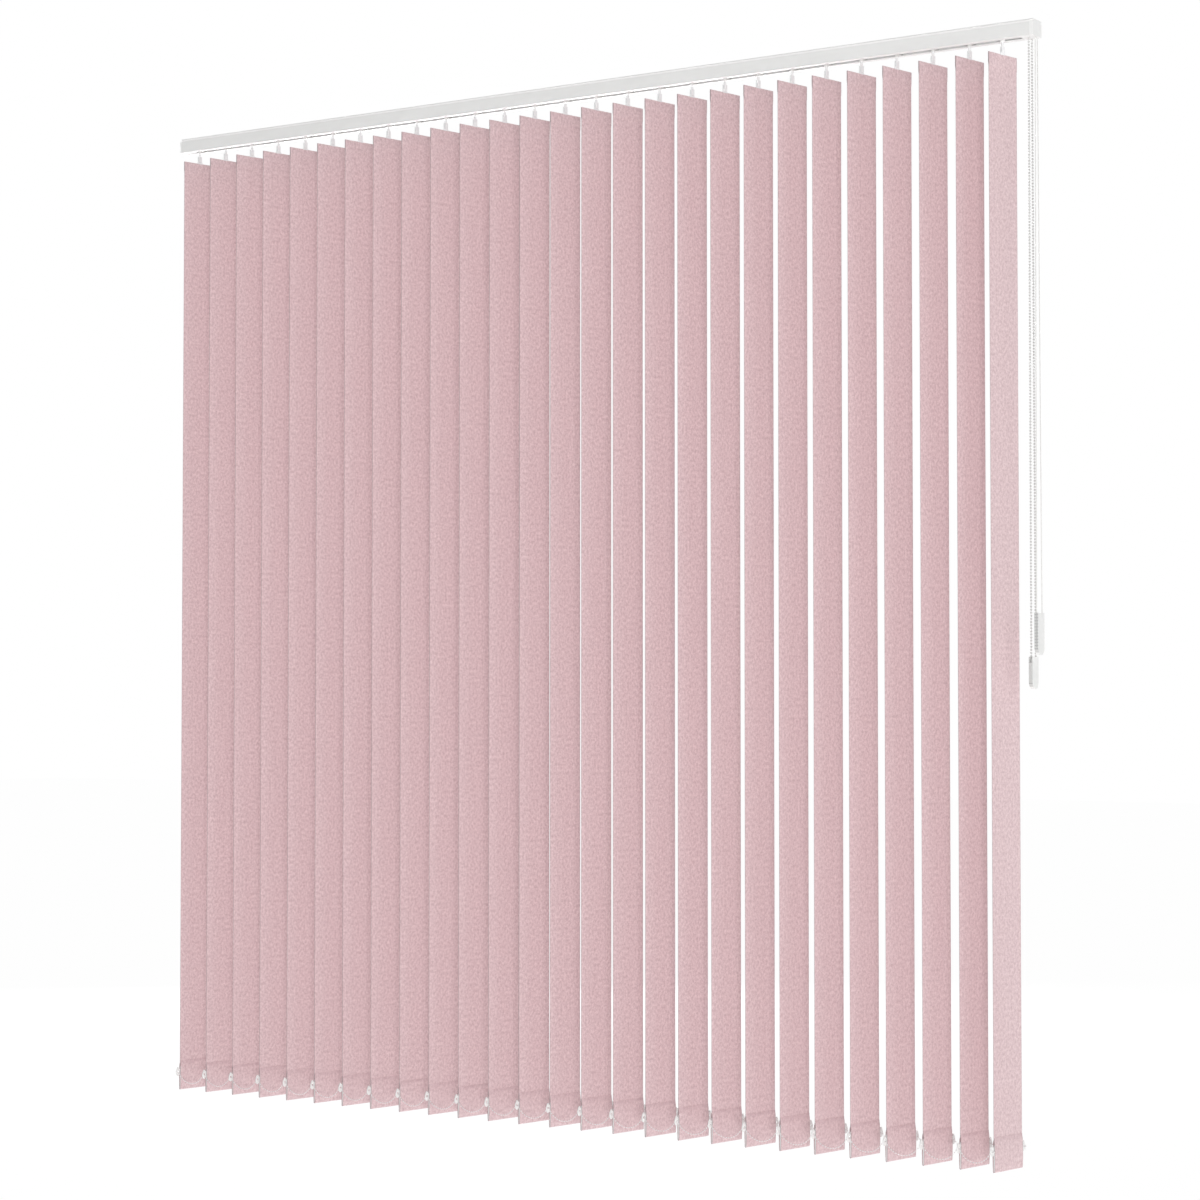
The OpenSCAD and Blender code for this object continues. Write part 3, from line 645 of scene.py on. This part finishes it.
# Bottom chains. White plastic bead chains that run through the clips of the weights on both sides
# and hang in an arc between each two vanes, so that the vanes keep their distance.
LINK_BEAD_D = 2.8 * MM
LINK_PITCH = 6.0 * MM
LINK_THREAD_D = 0.5 * MM
THREAD_BELOW_TOP = 1.6 * MM
CHAIN_SAG = 24 * MM
RING_TURN_R = 5 * MM
RING_REACH = 5 * MM
RING_STEPS = 4
ARC_STEPS = 14
BEAD_FINENESS = 2
THREAD_SIDES = 6
BEAD_WHITE = (0.88, 0.85, 0.85)
BEAD_SHADE = (0.82, 0.78, 0.78)
BEAD_CLOUDS = (260, 260, 260)
BEAD_GRAIN = (1500, 1500, 1500)
BEAD_GRAIN_DEPTH = 0.01 * MM


def bead_chain_tree():
    """Beads at an even pitch on a thread that follows the edges of a mesh."""
    tree = bpy.data.node_groups.new("bead_chain", "GeometryNodeTree")
    sockets = tree.interface
    sockets.new_socket("Geometry", in_out="INPUT", socket_type="NodeSocketGeometry")
    for name in ("Bead Radius", "Bead Pitch", "Thread Radius"):
        sockets.new_socket(name, in_out="INPUT", socket_type="NodeSocketFloat")
    sockets.new_socket("Finish", in_out="INPUT", socket_type="NodeSocketMaterial")
    sockets.new_socket("Geometry", in_out="OUTPUT", socket_type="NodeSocketGeometry")

    def node(kind):
        """A new geometry node in the tree."""
        return tree.nodes.new("GeometryNode" + kind)

    given = tree.nodes.new("NodeGroupInput")
    curve = node("MeshToCurve")
    spaced = node("ResampleCurve")
    bead = node("MeshIcoSphere")
    beads = node("InstanceOnPoints")
    ring = node("CurvePrimitiveCircle")
    thread = node("CurveToMesh")
    both = node("JoinGeometry")
    real = node("RealizeInstances")
    smooth = node("SetShadeSmooth")
    finish = node("SetMaterial")
    made = tree.nodes.new("NodeGroupOutput")
    spaced.mode = "LENGTH"
    bead.inputs["Subdivisions"].default_value = BEAD_FINENESS
    ring.inputs["Resolution"].default_value = THREAD_SIDES
    thread.inputs["Fill Caps"].default_value = True
    for start, end in (
        (given.outputs["Geometry"], curve.inputs["Mesh"]),
        (curve.outputs["Curve"], spaced.inputs["Curve"]),
        (given.outputs["Bead Pitch"], spaced.inputs["Length"]),
        (given.outputs["Bead Radius"], bead.inputs["Radius"]),
        (spaced.outputs["Curve"], beads.inputs["Points"]),
        (bead.outputs["Mesh"], beads.inputs["Instance"]),
        (given.outputs["Thread Radius"], ring.inputs["Radius"]),
        (curve.outputs["Curve"], thread.inputs["Curve"]),
        (ring.outputs["Curve"], thread.inputs["Profile Curve"]),
        (beads.outputs["Instances"], both.inputs["Geometry"]),
        (thread.outputs["Mesh"], both.inputs["Geometry"]),
        (both.outputs["Geometry"], real.inputs["Geometry"]),
        (real.outputs["Geometry"], smooth.inputs["Geometry"]),
        (smooth.outputs["Geometry"], finish.inputs["Geometry"]),
        (given.outputs["Finish"], finish.inputs["Material"]),
        (finish.outputs["Geometry"], made.inputs["Geometry"]),
    ):
        tree.links.new(start, end)
    return tree


def grown(name, tree, line, settings):
    """The plain mesh that a node tree makes from a line of points."""
    seed = bpy.data.meshes.new(name + "_line")
    seed.from_pydata(line, [(i, i + 1) for i in range(len(line) - 1)], [])
    holder = bpy.data.objects.new(name + "_line", seed)
    scene.collection.objects.link(holder)
    modifier = holder.modifiers.new("tree", "NODES")
    modifier.node_group = tree
    for socket in tree.interface.items_tree:
        if socket.in_out == "INPUT" and socket.name in settings:
            modifier[socket.identifier] = settings[socket.name]
    view = bpy.context.evaluated_depsgraph_get()
    mesh = bpy.data.meshes.new_from_object(holder.evaluated_get(view))
    mesh.name = name
    bpy.data.objects.remove(holder)
    bpy.data.meshes.remove(seed)
    return mesh


def bottom_line(side, thread_z):
    """The chain's line: a tight turn over each ring and a wider arc between two rings."""
    xs = [pivots[v].x + side * RING_R * math.cos(TILT) for v in vane_names]
    y = side * RING_R * math.sin(TILT)

    def over_ring(x, a):
        """The place at an angle on the turn over the ring at x."""
        return x + RING_TURN_R * math.cos(a), thread_z + RING_TURN_R * (math.sin(a) - 1)

    line = [(xs[0] - RING_REACH, thread_z), (xs[0], thread_z)]
    for x0, x1 in zip(xs, xs[1:]):
        span = x1 - x0
        turn = 2 * math.atan(2 * CHAIN_SAG / span)
        wide_r = span / (2 * math.sin(turn)) - RING_TURN_R
        line += [over_ring(x0, math.pi / 2 - turn * i / RING_STEPS) for i in range(1, RING_STEPS)]
        for i in range(ARC_STEPS + 1):
            a = 1.5 * math.pi + turn * (2 * i / ARC_STEPS - 1)
            line.append(((x0 + x1) / 2 + wide_r * math.cos(a),
                         thread_z - CHAIN_SAG + wide_r * (1 + math.sin(a))))
        line += [over_ring(x1, math.pi / 2 + turn * i / RING_STEPS) for i in reversed(range(RING_STEPS))]
    line.append((xs[-1] + RING_REACH, thread_z))
    return [(x, y, z) for x, z in line]


bead_plastic = Finish("white_bead_plastic", roughness=0.3)
bead_plastic.shades(bead_plastic.noise(BEAD_CLOUDS), BEAD_SHADE, BEAD_WHITE)
bead_plastic.relief(bead_plastic.noise(BEAD_GRAIN, detail=1), BEAD_GRAIN_DEPTH)

bead_chain = bead_chain_tree()
link_sizes = {"Bead Radius": LINK_BEAD_D / 2, "Bead Pitch": LINK_PITCH,
              "Thread Radius": LINK_THREAD_D / 2, "Finish": bead_plastic.material}
for side, body in ((-1, "bottom_chain_front"), (1, "bottom_chain_rear")):
    line = bottom_line(side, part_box(body)[1].z - THREAD_BELOW_TOP)
    mesh = grown(body, bead_chain, line, link_sizes)
    chain = add_piece(body + "_beads", mesh, body)
    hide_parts(body)
    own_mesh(chain)

# Tilt chain. A closed loop of pale grey plastic beads over the chain wheel of the control unit, kept
# straight by a flat weight that it runs round in. Pulling either side turns the vanes.
CHAIN_BEAD_D = 4.5 * MM
CHAIN_PITCH = 6.0 * MM
CHAIN_THREAD_D = 0.7 * MM
CHAIN_X = 1.0765
ROD_Y = 7.36 * MM
ROD_Z = -16.5 * MM
CHAIN_WHEEL_R = 7.5 * MM
CHAIN_WEIGHT_R = 10.5 * MM
CHAIN_FOOT = -1.306
CHAIN_TURN_Z = CHAIN_FOOT + 14.25 * MM
CHAIN_WEIGHT_TOP = CHAIN_FOOT + 63 * MM
STRAIGHT_TO = -60 * MM
TURN_STEPS = 16
# The loop starts on top of the wheel, at 90 degrees, and ends just short of its start.
LOOP_ENDS_AT = 88
CHAIN_GREY = (0.68, 0.68, 0.67)
CHAIN_SHADE = (0.60, 0.60, 0.59)
GRIP_STEP = 0.3 * MM
GRIP_FACING = 0.7
GROOVE_FACING = 0.95
GRIP_ROUND = 0.5 * MM
# Painted shade on the front and back faces of the loop weights, and a darker painted shadow in the
# floors of their grip grooves.
PAINTED_PAD_SHADE_GREY = (0.66, 0.66, 0.65)
PAINTED_PAD_SHADE_DARK = (0.60, 0.60, 0.59)
PAINTED_GROOVE_SHADOW = (0.47, 0.47, 0.47)
PAINTED_GROOVE_SHADOW_DEEP = (0.43, 0.43, 0.43)
GRIP_CLOUDS = (300, 300, 300)

pad_painted_shade = Finish("painted_shade_on_pads", roughness=0.5)
pad_painted_shade.shades(pad_painted_shade.noise(GRIP_CLOUDS), PAINTED_PAD_SHADE_DARK, PAINTED_PAD_SHADE_GREY)
pad_painted_shade.relief(pad_painted_shade.noise(WEIGHT_GRAIN, detail=2), WEIGHT_GRAIN_DEPTH)
groove_painted_shadow = Finish("painted_shadow_in_grooves", roughness=0.6)
groove_painted_shadow.shades(groove_painted_shadow.noise(GRIP_CLOUDS), PAINTED_GROOVE_SHADOW_DEEP, PAINTED_GROOVE_SHADOW)
groove_painted_shadow.relief(groove_painted_shadow.noise(WEIGHT_GRAIN, detail=2), WEIGHT_GRAIN_DEPTH)
chain_plastic = Finish("grey_bead_plastic", roughness=0.35)
chain_plastic.shades(chain_plastic.noise(BEAD_CLOUDS), CHAIN_SHADE, CHAIN_GREY)
chain_plastic.relief(chain_plastic.noise(BEAD_GRAIN, detail=1), BEAD_GRAIN_DEPTH)


def arc_yz(x, y, z, r, start, end):
    """Points on an arc across the rail, between two angles in degrees."""
    angles = [math.radians(start + (end - start) * i / TURN_STEPS) for i in range(TURN_STEPS + 1)]
    return [(x, y + r * math.cos(a), z + r * math.sin(a)) for a in angles]


def loop_weight(name, node):
    """The flat weight of a loop, with its grip pads: the solid of a node that stays below the rail. Its
    front and back faces carry painted shade in grey, and the floors of the pad grooves a darker painted
    shadow.
    """
    part = min(loose_parts(node), key=lambda solid: heights(solid)[1])
    mesh = mesh_of(name, part)
    weight = add_piece(name, mesh, "rail", weight_plastic)
    depths = [vert.co.y for vert in mesh.vertices]
    middle = (max(depths) + min(depths)) / 2
    groove_half = (max(depths) - min(depths)) / 2 - GRIP_STEP

    def in_pad(face):
        """Whether a face is on the front or the back, where the pads are."""
        return abs(face.normal.y) > GRIP_FACING

    def in_grip_groove(face):
        """Whether a face is the floor of a groove in a pad."""
        return abs(face.normal.y) > GROOVE_FACING and abs(face.center.y - middle) < groove_half

    # Painted shade: the front and back faces are painted grey, standing in for the shade they are in.
    coat_zone(mesh, pad_painted_shade, in_pad)
    # Painted shadow: the floors of the grooves in the pads are painted darker still.
    coat_zone(mesh, groove_painted_shadow, in_grip_groove)
    round_edges(weight, GRIP_ROUND)
    return weight


chain_line = (
    arc_yz(CHAIN_X, ROD_Y, ROD_Z, CHAIN_WHEEL_R, 90, 180)
    + [(CHAIN_X, ROD_Y - CHAIN_WHEEL_R, STRAIGHT_TO),
       (CHAIN_X, ROD_Y - CHAIN_WEIGHT_R, CHAIN_WEIGHT_TOP)]
    + arc_yz(CHAIN_X, ROD_Y, CHAIN_TURN_Z, CHAIN_WEIGHT_R, 180, 360)
    + [(CHAIN_X, ROD_Y + CHAIN_WEIGHT_R, CHAIN_WEIGHT_TOP),
       (CHAIN_X, ROD_Y + CHAIN_WHEEL_R, STRAIGHT_TO)]
    + arc_yz(CHAIN_X, ROD_Y, ROD_Z, CHAIN_WHEEL_R, 0, LOOP_ENDS_AT))
chain_sizes = {"Bead Radius": CHAIN_BEAD_D / 2, "Bead Pitch": CHAIN_PITCH,
               "Thread Radius": CHAIN_THREAD_D / 2, "Finish": chain_plastic.material}
chain_mesh = grown("tilt_chain_beads", bead_chain, chain_line, chain_sizes)
tilt_chain = add_piece("tilt_chain_beads", chain_mesh, "rail")
chain_weight = loop_weight("chain_weight", "tilt_chain")
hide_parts("tilt_chain")

# Traverse cord. A thin braided cord, tied at both ends to the lead carrier. It runs round the guide
# post of the idle cap, along the rail, down through the control unit and round in its own weight.
CORD_D = 1.8 * MM
CORD_X = 1.0905
CORD_Y = 4 * MM
CORD_Z = -4.4 * MM
POST_X = -1.0785
POST_R = 5 * MM
POST_STEPS = 12
CORD_BEND_R = 3.96 * MM
BEND_STEPS = 6
CORD_WEIGHT_R = 13 * MM
CORD_FOOT = -1.240
CORD_TURN_Z = CORD_FOOT + 15.4 * MM
CORD_WEIGHT_TOP = CORD_FOOT + 82 * MM
CLEAT_HALF = 7 * MM
CORD_FINENESS = 3
CORD_WHITE = (0.86, 0.86, 0.84)
CORD_SHADE = (0.70, 0.70, 0.68)
STRANDS = (900, 900, 420)
BRAID = (1400, 1400, 700)
BRAID_DEPTH = 0.08 * MM


def round_post():
    """The half turn round the guide post, from the rear run to the front run."""
    angles = [math.pi * i / POST_STEPS for i in range(POST_STEPS + 1)]
    return [(POST_X - POST_R * math.sin(a), CORD_Y + POST_R * math.cos(a), CORD_Z) for a in angles]


def bend_down(y, start, end):
    """The turn from the run along the rail into the hanging run, between two angles in degrees."""
    angles = [math.radians(start + (end - start) * i / BEND_STEPS) for i in range(BEND_STEPS + 1)]
    return [(CORD_X - CORD_BEND_R + CORD_BEND_R * math.cos(a), y,
             CORD_Z - CORD_BEND_R + CORD_BEND_R * math.sin(a)) for a in angles]


lead_x = pivots["vane_01"].x
cord_line = (
    [(lead_x - CLEAT_HALF, CORD_Y + POST_R, CORD_Z)]
    + round_post()
    + bend_down(CORD_Y - POST_R, 90, 0)
    + [(CORD_X, CORD_Y - POST_R, STRAIGHT_TO),
       (CORD_X, CORD_Y - CORD_WEIGHT_R, CORD_WEIGHT_TOP)]
    + arc_yz(CORD_X, CORD_Y, CORD_TURN_Z, CORD_WEIGHT_R, 180, 360)
    + [(CORD_X, CORD_Y + CORD_WEIGHT_R, CORD_WEIGHT_TOP),
       (CORD_X, CORD_Y + POST_R, STRAIGHT_TO)]
    + bend_down(CORD_Y + POST_R, 0, 90)
    + [(lead_x + CLEAT_HALF, CORD_Y + POST_R, CORD_Z)])

cord_braid = Finish("white_braided_cord", roughness=0.75)
cord_braid.shades(cord_braid.noise(STRANDS, detail=2), CORD_SHADE, CORD_WHITE)
cord_braid.relief(cord_braid.noise(BRAID, detail=1), BRAID_DEPTH)

cord_curve = bpy.data.curves.new("traverse_cord_braid", "CURVE")
cord_curve.dimensions = "3D"
cord_curve.bevel_depth = CORD_D / 2
cord_curve.bevel_resolution = CORD_FINENESS
cord_curve.use_fill_caps = True
spline = cord_curve.splines.new("POLY")
spline.points.add(len(cord_line) - 1)
for point, at in zip(spline.points, cord_line):
    point.co = (*at, 1)
cord_curve.materials.append(cord_braid.material)
traverse_cord = add_piece("traverse_cord_braid", cord_curve, "rail")
cord_weight = loop_weight("cord_weight", "traverse_cord")
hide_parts("traverse_cord")
